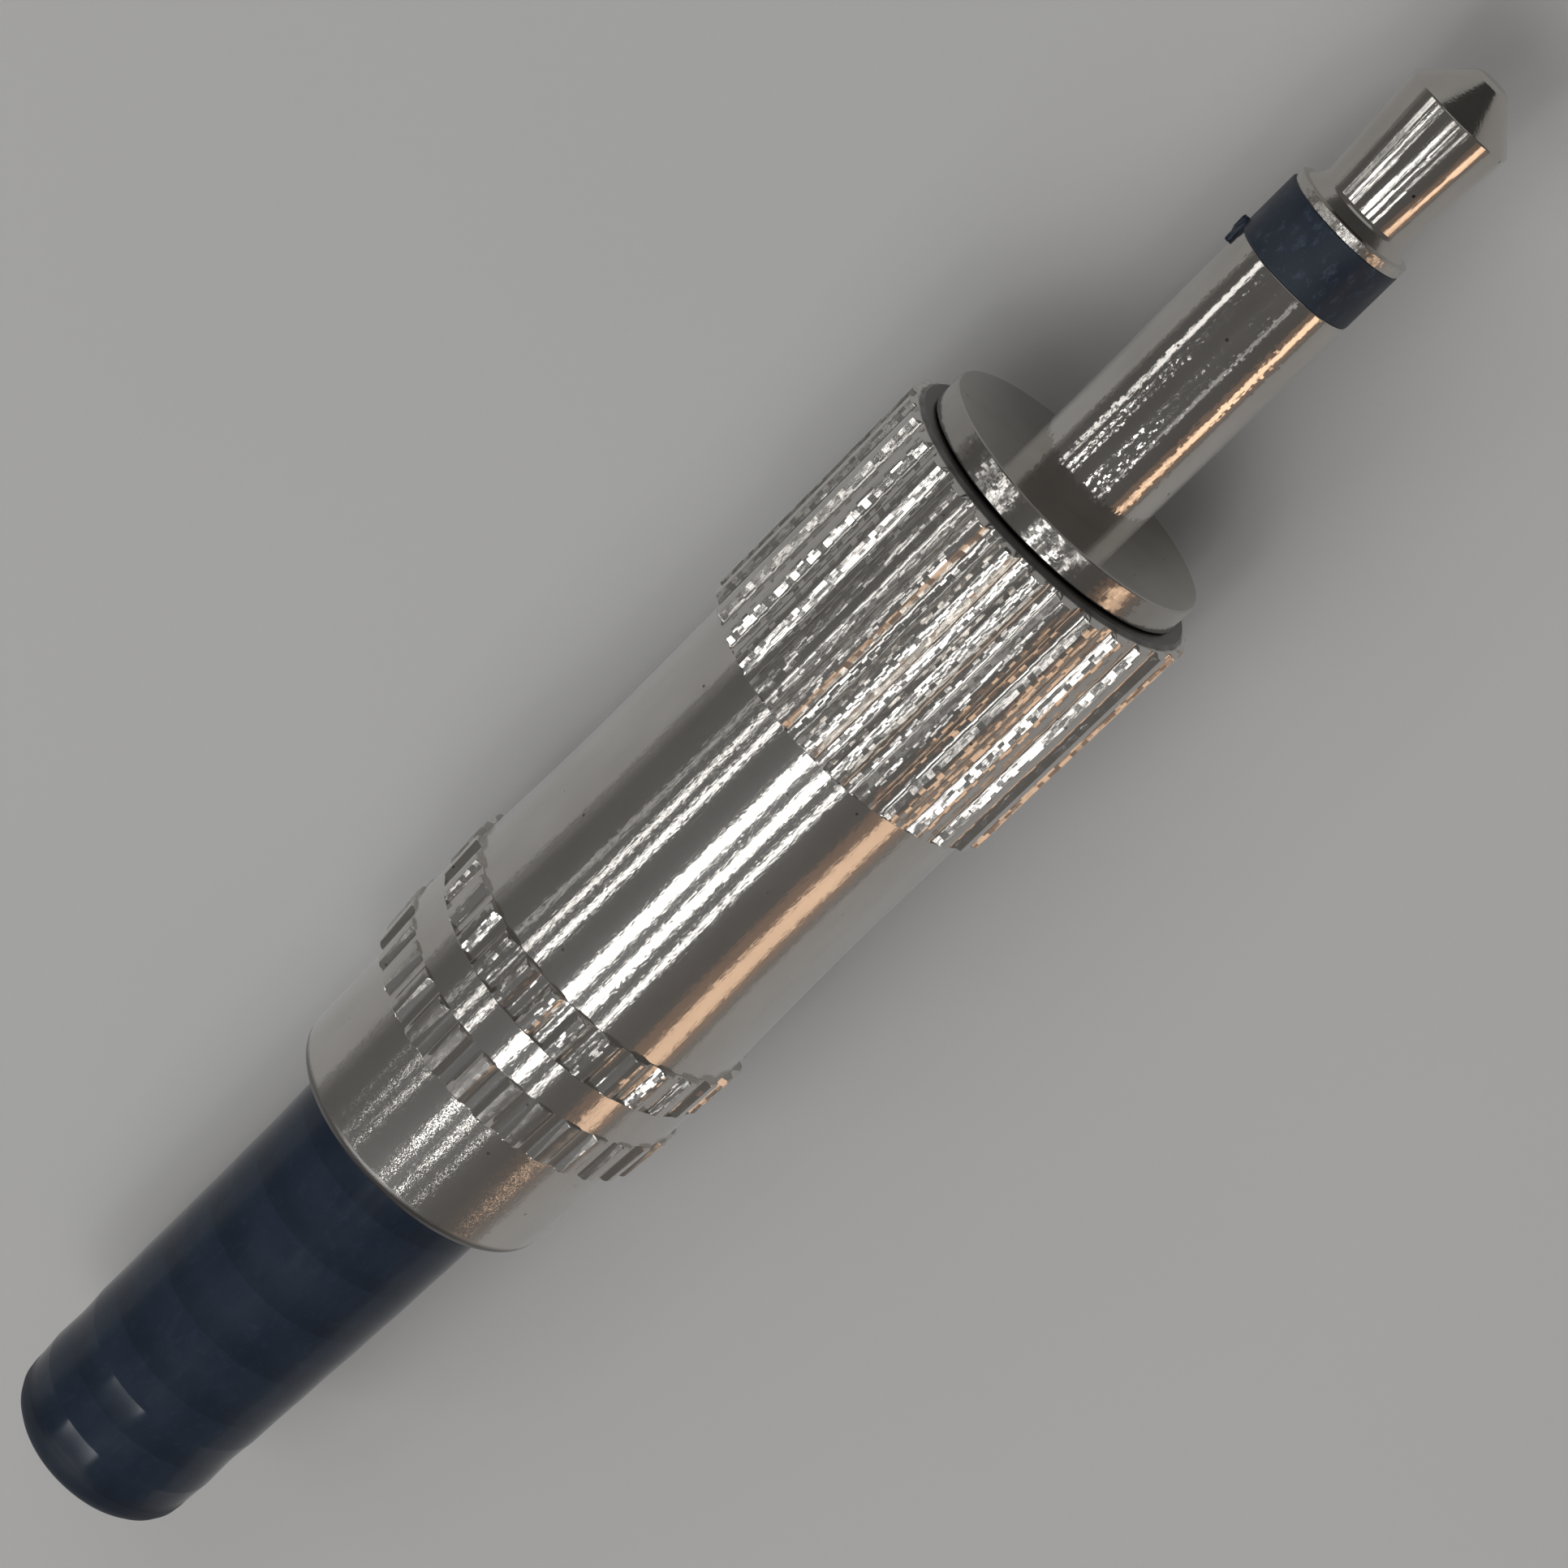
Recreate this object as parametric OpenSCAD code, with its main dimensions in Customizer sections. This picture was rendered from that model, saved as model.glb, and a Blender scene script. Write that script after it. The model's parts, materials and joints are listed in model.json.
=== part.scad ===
// Mono jack plug: a turned pin with an insulated tip, a knurled screw-on shell
// and a ribbed cord boot. The plug lies on its side, with +X along the pin to
// the tip and +Z up. The origin is the centre of the collar's front face.
// Sizes are in millimetres.

/* [Pin] */
// Diameter of the shank
pin_d = 3.5; // [3.2:0.05:3.8]
// Length of the shank, from the collar to the insulator ring
shank_len = 7.56; // [6:0.02:10]
// Length of the insulator ring between shank and tip
ring_len = 1.75; // [1.2:0.05:2.5]
// How far the insulator ring stands proud of the shank
ring_proud = 0.02; // [0.01:0.01:0.04]
// Diameter of the centre rod behind the tip
rod_d = 1.4; // [1:0.05:1.6]
// Wall of the insulating tube around the rod
tube_wall = 0.45; // [0.3:0.05:0.5]

/* [Tip] */
// Length of the flange that backs onto the insulator ring
flange_len = 0.22; // [0.16:0.02:0.6]
// Length of the slope from the flange to the neck
flange_slope = 0.46; // [0.2:0.02:0.6]
// Diameter of the neck
neck_d = 2.68; // [2.3:0.02:2.9]
// Length of the neck
neck_len = 0.24; // [0.1:0.02:0.6]
// Widest diameter of the tip's head
head_d = 3.03; // [2.92:0.01:3.15]
// Length from the neck to the widest part of the head
head_len = 2.94; // [2:0.02:4]
// Length of the nose cone
nose_len = 1.02; // [0.6:0.02:1.6]
// Diameter of the flat end of the nose
nose_d = 0.85; // [0.6:0.05:1.6]

/* [Collar and thread] */
// Step from the thread out to the collar's rim
collar_lip = 0.4; // [0.25:0.05:0.6]
// Length of the collar
collar_len = 0.81; // [0.5:0.01:1.5]
// Outer diameter of the screw thread behind the collar
thread_d = 7.4; // [6.8:0.05:7.8]
// Length of the threaded stem
thread_len = 4.75; // [3:0.05:7]
// Length of the relief between collar and thread
relief_len = 0.7; // [0.4:0.05:1.2]
// Depth of the relief, which is that of the thread
thread_depth = 0.45; // [0.3:0.05:0.6]

/* [Shell] */
// Gap between the collar and the shell's front edge
shell_gap = 0.17; // [0.05:0.01:0.5]
// Diameter over the ridges of the knurl
knurl_d = 9.5; // [9.2:0.05:11]
// Length of the front knurl
knurl_len = 7.4; // [5:0.05:10]
// Number of ridges around the knurl
knurl_count = 30; // [24:1:40]
// Depth of the grooves between the ridges
ridge_depth = 0.21; // [0.1:0.01:0.3]
// Depth of the bevels on the front knurl's two ends
knurl_bevel = 0.2; // [0.1:0.01:0.25]
// Depth of those bevels for each millimetre of length
bevel_slope = 2; // [1:0.1:3]
// Diameter of the barrel behind the front knurl
barrel_d = 8.69; // [8.2:0.01:9]
// Length of the barrel, from the front knurl to the knurled rings
barrel_len = 9.3; // [7:0.1:14]
// Length over which the barrel flares towards the rings
flare_len = 6; // [3:0.1:7]
// Growth of the barrel's radius along the flare
flare_rise = 0.15; // [0.05:0.01:0.25]
// Length of the knurled ring nearer the barrel
front_ring_len = 1.42; // [1:0.02:2]
// Length of the plain band between the two rings
band_len = 1.22; // [0.8:0.02:2]
// Diameter of the plain band
band_d = 9.2; // [8.8:0.02:9.3]
// Length of the knurled ring nearer the tail
rear_ring_len = 1.5; // [1:0.02:2]
// How much lower the rings' ridges are than the front knurl's
ring_drop = 0.02; // [0.01:0.01:0.05]
// Bevel on the rings' edges
ring_edge = 0.12; // [0.06:0.01:0.16]
// Diameter of the plain tail
tail_d = 8.5; // [8:0.01:9]
// Length of the plain tail
tail_len = 3.78; // [2.5:0.02:6]
// Radius on the tail's rear edge
tail_round = 0.4; // [0.2:0.05:0.6]
// Diameter of the bore that holds liner and boot
shell_bore_d = 6.8; // [6.5:0.05:7.1]
// Thickness of the shell's rear wall
rear_wall = 1.2; // [0.8:0.05:2]
// Bevel inside the shell's front edge
mouth_bevel = 0.25; // [0.1:0.05:0.35]

/* [Boot and liner] */
// Diameter of the cord that the boot and the clamp take
cord_d = 4.0; // [3:0.1:4.4]
// Wall of the boot's neck in the shell's rear hole
neck_wall = 0.85; // [0.6:0.05:0.95]
// Step from the neck out to the boot's shoulder
boot_shoulder = 0.3; // [0.2:0.05:0.6]
// Wall of the boot at its rear end
boot_end_wall = 0.925; // [0.7:0.025:1.1]
// Length of the boot behind the shell
boot_len = 14.3; // [14:0.1:20]
// Length of the boot's flange inside the shell
boot_flange_len = 1.2; // [0.8:0.1:2]
// Distance from one rib groove to the next
rib_pitch = 2.05; // [1.6:0.05:2.1]
// Number of rib grooves
groove_count = 6; // [3:1:6]
// Distance from the boot's shoulder to the first groove
first_groove = 1.1; // [0.8:0.05:1.4]
// Depth of the rib grooves
groove_depth = 0.12; // [0.05:0.01:0.25]
// Radius of the rib grooves' rounded section
groove_r = 0.9; // [0.6:0.05:1.2]
// Radius on the boot's rear edge
boot_round = 0.9; // [0.3:0.05:0.9]
// Wall of the insulating liner
liner_wall = 0.3; // [0.2:0.05:0.35]

/* [Tags] */
// Thickness of the tags' sheet metal
tag_sheet = 0.4; // [0.3:0.05:0.5]
// Inner radius of the tags' bends
bend_inner_r = 0.3; // [0.2:0.05:0.4]
// Wall of the boss that the sleeve tag is staked on
boss_wall = 0.5; // [0.3:0.05:0.55]
// Length of the staked lip that holds the sleeve tag
stake_len = 0.3; // [0.2:0.05:0.5]
// Step from the boss out to its staked lip
stake_lip = 0.18; // [0.1:0.02:0.2]
// Width of the sleeve tag's ring around the boss
sleeve_ring = 0.95; // [0.8:0.05:1]
// Width of the sleeve tag's arm
sleeve_arm_w = 2.0; // [1.4:0.1:2.2]
// Length of the sleeve tag behind the stem
sleeve_tag_len = 12.3; // [10:0.1:14]
// Diameter of the sleeve tag's solder hole
sleeve_hole_d = 1.2; // [0.8:0.1:1.3]
// Length of the cord clamp
clamp_len = 3; // [2:0.1:4]
// Thickness of the insulating washer behind the boss
washer_len = 0.6; // [0.4:0.05:1]
// Width of the tip tag's ring around the rod
tip_ring = 1.0; // [0.8:0.05:1.1]
// Width of the tip tag's arm
tip_arm_w = 1.8; // [1.5:0.1:2]
// Length of the tip tag
tip_tag_len = 5.5; // [4:0.1:6.5]
// Diameter of the tip tag's solder hole
tip_hole_d = 1.0; // [0.6:0.1:1.2]
// Distance from the tip tag's end to its solder hole
tip_hole_inset = 1.25; // [1:0.05:1.5]
// Length of the rivet head on the rod
rivet_len = 0.5; // [0.3:0.05:0.8]
// Step from the rod out to the rivet head's rim
rivet_lip = 0.4; // [0.2:0.05:0.6]

/* [Clearances] */
// Radial clearance between pieces that are fixed together
fixed_gap = 0.02; // [0.01:0.01:0.03]
// Radial clearance between pieces that turn or slide
run_gap = 0.05; // [0.02:0.01:0.08]
// End clearance of the boot in the shell's rear wall, and of the liner
end_gap = 0.06; // [0.02:0.01:0.2]
// Room behind the stem before the shell's bore narrows
stem_room = 0.4; // [0.2:0.05:1]
// Air between the tags and what they must not touch
tag_air = 0.15; // [0.1:0.01:0.2]
// Small bevel that breaks turned edges
edge_break = 0.08; // [0.04:0.01:0.12]

/* [Hidden] */
$fn = 96;
arc_step = 15;
cut_over = 1;
nickel = [0.66, 0.63, 0.58];
plated_brass = [0.74, 0.7, 0.6];
navy_black = [0.13, 0.14, 0.18];
fibre_brown = [0.45, 0.3, 0.2];
milky = [0.86, 0.87, 0.84];

// Radii and stations of the pin
pin_r = pin_d / 2;
rod_r = rod_d / 2;
rod_hole_r = rod_r + fixed_gap;
tube_r = rod_hole_r + tube_wall;
tube_hole_r = tube_r + fixed_gap;
ring_front = shank_len + ring_len;
flange_front = ring_front + flange_len;
neck_rear = flange_front + flange_slope;
neck_front = neck_rear + neck_len;
head_x = neck_front + head_len;
tip_end = head_x + nose_len;

// Radii and stations of the sleeve behind the collar
thread_r = thread_d / 2;
collar_r = thread_r + collar_lip;
relief_r = thread_r - thread_depth;
thread_front = -collar_len - relief_len;
stem_rear = thread_front - thread_len;
boss_r = tube_hole_r + boss_wall;
lip_front = stem_rear - tag_sheet;
boss_rear = lip_front - stake_len;
washer_rear = boss_rear - washer_len;
tip_tag_rear = washer_rear - tag_sheet;
rivet_rear = tip_tag_rear - rivet_len;
rivet_r = rod_r + rivet_lip;

// Radii and stations of the shell
shell_front = -collar_len - shell_gap;
knurl_rear = shell_front - knurl_len;
front_ring_x = knurl_rear - barrel_len;
band_x = front_ring_x - front_ring_len;
rear_ring_x = band_x - band_len;
tail_x = rear_ring_x - rear_ring_len;
shell_rear = tail_x - tail_len;
barrel_r = barrel_d / 2;
band_r = band_d / 2;
tail_r = tail_d / 2;
shell_bore_r = shell_bore_d / 2;
thread_bore_r = thread_r + run_gap;
thread_bore_end = stem_rear - stem_room;
wall_x = shell_rear + rear_wall;

// The ridges are round lobes that meet in the grooves. A lobe touches the
// knurl's outer diameter and passes through the bottom of its two grooves.
knurl_r = knurl_d / 2;
groove_floor_r = knurl_r - ridge_depth;
half_ridge = 180 / knurl_count;
lobe_at = (pow(knurl_r, 2) - pow(groove_floor_r, 2)) / (2 * (knurl_r - groove_floor_r * cos(half_ridge)));
lobe_r = knurl_r - lobe_at;

// Radii and stations of boot and liner
cord_r = cord_d / 2;
boot_neck_r = cord_r + neck_wall;
rear_hole_r = boot_neck_r + run_gap;
boot_front_r = boot_neck_r + boot_shoulder;
boot_end_r = cord_r + boot_end_wall;
boot_x = shell_rear - end_gap;
boot_rear = boot_x - boot_len;
boot_flange_x = wall_x + end_gap;
boot_flange_front = boot_flange_x + boot_flange_len;
boot_flange_r = shell_bore_r - run_gap;
liner_front = thread_bore_end - end_gap;
liner_rear = boot_flange_front + end_gap;
liner_r = shell_bore_r - run_gap;
liner_hole_r = liner_r - liner_wall;

// The tags: reach is the distance from the axis to the arm's outer face, and
// lap is how deep the pieces of a tag run into each other
bend_r = tag_sheet + bend_inner_r;
tag_lap = tag_sheet / 4;
tag_limit_r = liner_hole_r - tag_air;
sleeve_reach = sqrt(pow(tag_limit_r, 2) - pow(sleeve_arm_w / 2, 2));
sleeve_hole_x = stem_rear - (sleeve_tag_len - clamp_len) / 2;
boss_hole_r = boss_r + fixed_gap;
sleeve_ring_r = boss_hole_r + sleeve_ring;
washer_r = sleeve_reach - tag_sheet - tag_air;
tip_ring_r = rod_hole_r + tip_ring;
tip_reach = tip_ring_r + tag_sheet / 2;
tip_hole_x = washer_rear - tip_tag_len + tip_hole_inset;
clamp_r = cord_r + tag_sheet;
clamp_z = clamp_r + tag_lap - sleeve_reach;
clamp_top = sqrt(pow(tag_limit_r, 2) - pow(clamp_r, 2));
clamp_rear = stem_rear - sleeve_tag_len;

// Turns a profile of [radius, x] points about the plug's axis
module turned(profile) {
  rotate([0, 90, 0])
    rotate_extrude()
      polygon(profile);
}

// A plain round bar or bore on the plug's axis
module bar(radius, x_rear, x_front) {
  translate([x_rear, 0, 0])
    rotate([0, 90, 0])
      cylinder(r = radius, h = x_front - x_rear);
}

// A round corner of a turned profile, from its side to its rear face
function rear_corner(r_side, x_rear, round_r) =
  [for (a = [0 : arc_step : 90])
    [r_side - round_r * (1 - cos(a)), x_rear + round_r * (1 - sin(a))]];

// The ridged bar that the knurled stretches are cut from, with a groove
// straight below the axis, so that the plug lies on two ridges
module ridged_bar(x_rear, x_front) {
  translate([x_rear, 0, 0])
    rotate([0, 90, 0])
      linear_extrude(x_front - x_rear) {
        circle(r = lobe_at);
        for (i = [0 : knurl_count - 1])
          rotate((2 * i + 1) * half_ridge)
            translate([lobe_at, 0])
              circle(r = lobe_r);
      }
}

// The long front knurl, with bevelled ends
module front_knurl() {
  bevel_r = knurl_r - knurl_bevel;
  top_r = knurl_r + knurl_bevel;
  bevel_len = (top_r - bevel_r) / bevel_slope;
  intersection() {
    ridged_bar(knurl_rear, shell_front);
    turned([
      [0, shell_front],
      [bevel_r, shell_front],
      [top_r, shell_front - bevel_len],
      [top_r, knurl_rear + bevel_len],
      [bevel_r, knurl_rear],
      [0, knurl_rear]
    ]);
  }
}

// A narrow knurled ring, a little lower than the front knurl
module knurl_ring(x_front, x_rear) {
  top_r = knurl_r - ring_drop;
  intersection() {
    ridged_bar(x_rear, x_front);
    turned([
      [0, x_front],
      [top_r - ring_edge, x_front],
      [top_r, x_front - ring_edge],
      [top_r, x_rear + ring_edge],
      [top_r - ring_edge, x_rear],
      [0, x_rear]
    ]);
  }
}

// The plain turned form under the knurled stretches
module shell_blank() {
  flare_start = front_ring_x + flare_len;
  flare_steps = 6;
  turned(concat(
    [[0, shell_front - knurl_len / 2],
     [barrel_r, shell_front - knurl_len / 2]],
    [for (i = [0 : flare_steps])
      [barrel_r + flare_rise * pow(i / flare_steps, 2), flare_start - flare_len * i / flare_steps]],
    [[barrel_r + flare_rise, front_ring_x - ring_edge],
     [band_r, front_ring_x - ring_edge],
     [band_r, tail_x + ring_edge],
     [tail_r, tail_x + ring_edge]],
    rear_corner(tail_r, shell_rear, tail_round),
    [[0, shell_rear]]
  ));
}

// Tip and centre rod, turned as one, with the rod's end riveted over
module tip_contact() {
  color(nickel)
    turned([
      [0, tip_end],
      [nose_d / 2, tip_end],
      [head_d / 2, head_x],
      [neck_d / 2, neck_front],
      [neck_d / 2, neck_rear],
      [pin_r - edge_break, flange_front],
      [pin_r, flange_front - edge_break],
      [pin_r, ring_front],
      [rod_r, ring_front],
      [rod_r, tip_tag_rear],
      [rivet_r, tip_tag_rear],
      [rivet_r, tip_tag_rear - rivet_len / 2],
      [rod_r, rivet_rear],
      [0, rivet_rear]
    ]);
}

// Insulator ring in front of the shank, with the tube that lines the shank
module front_insulator() {
  ring_r = pin_r + ring_proud;
  color(navy_black)
    turned([
      [rod_hole_r, ring_front],
      [ring_r, ring_front],
      [ring_r, shank_len],
      [tube_r, shank_len],
      [tube_r, boss_rear],
      [rod_hole_r, boss_rear]
    ]);
}

// Shank, collar, threaded stem and staked boss, turned as one
module sleeve() {
  color(nickel)
    turned([
      [tube_hole_r, shank_len],
      [pin_r, shank_len],
      [pin_r, 0],
      [collar_r - edge_break, 0],
      [collar_r, -edge_break],
      [collar_r, edge_break - collar_len],
      [collar_r - edge_break, -collar_len],
      [relief_r, -collar_len],
      [relief_r, thread_front],
      [thread_r, thread_front - thread_depth],
      [thread_r, stem_rear + thread_depth],
      [relief_r, stem_rear],
      [boss_r, stem_rear],
      [boss_r, lip_front],
      [boss_r + stake_lip, lip_front],
      [boss_r + stake_lip, boss_rear + edge_break],
      [boss_r + stake_lip - edge_break, boss_rear],
      [tube_hole_r, boss_rear]
    ]);
}

// Insulating washer between the staked boss and the tip tag
module rear_washer() {
  color(fibre_brown)
    difference() {
      bar(washer_r, washer_rear, boss_rear);
      bar(rod_hole_r, washer_rear - cut_over, boss_rear + cut_over);
    }
}

// A strip bent from a ring's plane to run back below the axis
module bent_strip(x_front, x_rear, reach, ring_hole_r, strip_w) {
  leg_top = ring_hole_r + tag_lap;
  rotate([90, 0, 0])
    linear_extrude(strip_w, center = true) {
      translate([x_front - tag_sheet, bend_r - reach])
        square([tag_sheet, reach - bend_r - leg_top]);
      translate([x_rear, -reach])
        square([x_front - bend_r - x_rear, tag_sheet]);
      translate([x_front - bend_r, bend_r - reach])
        intersection() {
          difference() {
            circle(r = bend_r);
            circle(r = bend_r - tag_sheet);
          }
          translate([0, -bend_r])
            square(bend_r);
        }
    }
}

// Solder tag on the rod, with its arm above the axis
module tip_tag() {
  color(plated_brass)
    mirror([0, 0, 1])
      difference() {
        union() {
          bar(tip_ring_r, tip_tag_rear, washer_rear);
          bent_strip(washer_rear, washer_rear - tip_tag_len, tip_reach, rod_hole_r, tip_arm_w);
        }
        bar(rod_hole_r, tip_tag_rear - cut_over, washer_rear + cut_over);
        translate([tip_hole_x, 0, -tip_reach - cut_over])
          cylinder(d = tip_hole_d, h = tag_sheet + 2 * cut_over);
      }
}

// The open cord clamp: a round trough with two upright wings
module cord_clamp() {
  wing = clamp_top - clamp_z;
  translate([clamp_rear, 0, clamp_z])
    rotate([90, 0, 90])
      linear_extrude(clamp_len)
        difference() {
          union() {
            circle(r = clamp_r);
            translate([-clamp_r, 0])
              square([2 * clamp_r, wing]);
          }
          circle(r = cord_r);
          translate([-cord_r, 0])
            square([2 * cord_r, clamp_r + wing]);
        }
}

// Solder tag staked on the sleeve, with its arm below the axis
module sleeve_tag() {
  color(plated_brass)
    difference() {
      union() {
        bar(sleeve_ring_r, lip_front, stem_rear);
        bent_strip(stem_rear, clamp_rear + clamp_len / 2, sleeve_reach, boss_hole_r, sleeve_arm_w);
        cord_clamp();
      }
      bar(boss_hole_r, lip_front - tag_sheet, stem_rear + cut_over);
      translate([sleeve_hole_x, 0, -sleeve_reach - cut_over])
        cylinder(d = sleeve_hole_d, h = tag_sheet + 2 * cut_over);
    }
}

// Thin tube that keeps the tags off the shell
module liner() {
  color(milky)
    difference() {
      bar(liner_r, liner_rear, liner_front);
      bar(liner_hole_r, liner_rear - cut_over, liner_front + cut_over);
    }
}

// Screw-on handle: knurl, barrel, rings and tail, turned as one
module shell() {
  color(nickel)
    difference() {
      union() {
        shell_blank();
        front_knurl();
        knurl_ring(front_ring_x, band_x);
        knurl_ring(rear_ring_x, tail_x);
      }
      turned([
        [0, shell_front + cut_over],
        [thread_bore_r + mouth_bevel + cut_over, shell_front + cut_over],
        [thread_bore_r, shell_front - mouth_bevel],
        [thread_bore_r, thread_bore_end],
        [shell_bore_r, thread_bore_end],
        [shell_bore_r, wall_x],
        [rear_hole_r, wall_x],
        [rear_hole_r, shell_rear - cut_over],
        [0, shell_rear - cut_over]
      ]);
    }
}

// Strain relief: flange inside the shell, neck in its rear hole, ribbed tail
module boot() {
  taper = (boot_front_r - boot_end_r) / boot_len;
  color(navy_black)
    rotate([0, 90, 0])
      rotate_extrude()
        difference() {
          polygon(concat(
            [[cord_r, boot_flange_front],
             [boot_flange_r, boot_flange_front],
             [boot_flange_r, boot_flange_x],
             [boot_neck_r, boot_flange_x],
             [boot_neck_r, boot_x],
             [boot_front_r, boot_x]],
            rear_corner(boot_end_r, boot_rear, boot_round),
            [[cord_r, boot_rear]]
          ));
          for (i = [0 : groove_count - 1]) {
            groove_at = first_groove + i * rib_pitch;
            translate([boot_front_r - taper * groove_at + groove_r - groove_depth, boot_x - groove_at])
              circle(r = groove_r);
          }
        }
}

tip_contact();
front_insulator();
sleeve();
rear_washer();
tip_tag();
sleeve_tag();
liner();
shell();
boot();
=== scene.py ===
import json
from math import cos, pi, radians, sin, tan

import bmesh
import bpy
from mathutils import Matrix, Vector


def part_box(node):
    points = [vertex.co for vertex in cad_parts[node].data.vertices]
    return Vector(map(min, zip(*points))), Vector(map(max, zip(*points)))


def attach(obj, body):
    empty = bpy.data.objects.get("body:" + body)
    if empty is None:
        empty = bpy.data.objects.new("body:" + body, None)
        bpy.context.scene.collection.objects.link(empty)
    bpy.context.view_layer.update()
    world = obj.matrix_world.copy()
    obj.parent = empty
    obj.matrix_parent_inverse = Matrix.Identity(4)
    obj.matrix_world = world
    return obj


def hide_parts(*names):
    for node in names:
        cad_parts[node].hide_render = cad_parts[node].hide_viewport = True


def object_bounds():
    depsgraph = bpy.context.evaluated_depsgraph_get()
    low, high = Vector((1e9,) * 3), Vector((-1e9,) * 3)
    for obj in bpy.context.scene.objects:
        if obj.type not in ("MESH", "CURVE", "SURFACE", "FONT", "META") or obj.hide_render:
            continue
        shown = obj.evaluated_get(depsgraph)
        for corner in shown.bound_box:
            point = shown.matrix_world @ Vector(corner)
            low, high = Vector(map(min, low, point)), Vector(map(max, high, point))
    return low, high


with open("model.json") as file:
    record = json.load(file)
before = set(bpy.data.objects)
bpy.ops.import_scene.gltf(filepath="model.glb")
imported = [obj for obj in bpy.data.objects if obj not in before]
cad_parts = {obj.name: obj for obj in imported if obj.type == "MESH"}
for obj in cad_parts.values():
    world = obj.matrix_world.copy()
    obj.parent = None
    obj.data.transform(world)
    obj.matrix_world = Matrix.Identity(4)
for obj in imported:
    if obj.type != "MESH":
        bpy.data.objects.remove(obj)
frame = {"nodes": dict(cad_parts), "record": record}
cad_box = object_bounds()

# Pieces are modelled in millimetres and brought to the frame's metres when they are finished
MM = 0.001
AXIS = (1, 0, 0)
ORIGIN = (0, 0, 0)
SIDES = 128
ROUND_STEPS = 5
MERGE = 0.001
NEAR = 5 * MERGE
CREASE = radians(35)


def reach(node):
    """Rear end, front end and widest radius of a node that is turned about the plug's axis"""
    low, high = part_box(node)
    return low.x / MM, high.x / MM, high.y / MM


# Ends and radii that the solids give
rivet_rear, tip_front, pin_r = reach("tip_contact")
boss_rear, shank_front, collar_r = reach("sleeve")
_, ring_front, ring_r = reach("front_insulator")
shell_rear, shell_front, knurl_r = reach("shell")
boot_rear, boot_front, boot_flange_r = reach("boot")
floor_z = cad_box[0].z

# Tip and centre rod
nose_r = 0.45
nose_len = 1.08
nose_round = 0.14
head_r = 1.53
head_len = 3.17
head_round = 0.03
neck_r = 1.3
neck_round = 0.08
flange_slope = 0.33
flange_foot_r = 1.56
flange_step = 0.03
flange_round = 0.02
land_drop = 0.02
rod_r = 0.7
rivet_r = 1.1
rivet_len = 0.5
rivet_round = 0.12
head_x = tip_front - nose_len
neck_front = head_x - head_len
flange_foot = neck_front - flange_slope
flange_front = flange_foot - flange_step
rivet_front = rivet_rear + rivet_len

# Insulator and the bores around the rod
rod_hole_r = 0.72
tube_r = 1.17
tube_hole_r = 1.19
ring_front_round = 0.04
ring_rear_round = 0.05
ring_skin = 0.1
ring_shift = 0.03

# The sliver of moulding flash on the insulator ring
flash_size = (0.75, 0.22, 0.24)
flash_x = shank_front - 0.15
flash_bevel = 0.05
flash_cuts = 3
flash_wobble = 0.03
flash_seed = 4
flash_tail = (1, 0.7, 0.75)

# Shank, collar and threaded stem
shank_round = 0.04
collar_len = 0.81
collar_round = 0.05
rim_radii = (3.6, 3.7)
relief_r = 3.25
relief_round = 0.15
thread_r = 3.7
thread_pitch = 0.75
thread_turns = 5
thread_steps = 64
thread_front = -1.9
thread_sink = 0.03
root_share = 0.48
crest_share = 0.08
stem_rear = -6.26
stem_round = 0.2
boss_r = 1.69
stake_r = 1.87
stake_front = -6.66
stake_round = 0.08

# Ridges of the shell's knurl and rings
knurl_count = 30
ridge_steps = 20
ridge_depth = 0.225
flank_start = 0.3
flank_end = 0.7
crown = 0.05
knurl_len = 7.4
knurl_bevel = 0.2
bevel_len = 0.1
front_ring_len = 1.42
rear_ring_len = 1.5
ring_drop = 0.02
ring_edge = 0.05
ring_tapers = (0.05, 0.1)
floor_tapers = (0.03, 0.06)

# Shell
barrel_r = 4.345
barrel_len = 9.3
flare_len = 6
flare_rise = 0.15
flare_steps = 6
band_len = 1.22
band_r = 4.6
step_round = 0.05
tail_r = 4.25
tail_taper = 0.048
tail_round = 0.4
rear_wall = 1.2
rear_hole_r = 2.9
shell_bore_r = 3.4
thread_bore_r = 3.75
thread_bore_end = -6.66
mouth_bevel = 0.1
shell_lip = 0.12
lip_r = 4.42
knurl_rear = shell_front - knurl_len
front_ring_x = knurl_rear - barrel_len
band_x = front_ring_x - front_ring_len
rear_ring_x = band_x - band_len
tail_x = rear_ring_x - rear_ring_len

# Boot
cord_r = 2.0
boot_gap = 0.06
boot_neck_r = 2.85
boot_front_r = 3.15
boot_front_round = 0.12
boot_end_r = 2.925
boot_round = 0.88
boot_bend = 0.2
bend_reach = 12
rib_pitch = 2.04
last_groove = -38.0
groove_len = 1.05
groove_shares = (0, 0.02, 0.12, 0.25, 0.4, 0.55, 0.7, 0.85, 1)
groove_depths = (0.01, 0.01, 0.01, 0.01, 0.045, 0.045)
boot_x = shell_rear - boot_gap
boot_flange_x = shell_rear + rear_wall + boot_gap


def only(piece):
    """Leaves one piece selected and active"""
    bpy.ops.object.select_all(action="DESELECT")
    piece.select_set(True)
    bpy.context.view_layer.objects.active = piece


def pick(piece, wanted):
    """Selects the vertices of the piece in edit mode whose place the test wants"""
    bpy.ops.mesh.select_all(action="DESELECT")
    mesh = bmesh.from_edit_mesh(piece.data)
    for vertex in mesh.verts:
        vertex.select = wanted(vertex.co)
    mesh.select_flush(True)
    bmesh.update_edit_mesh(piece.data)


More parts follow.
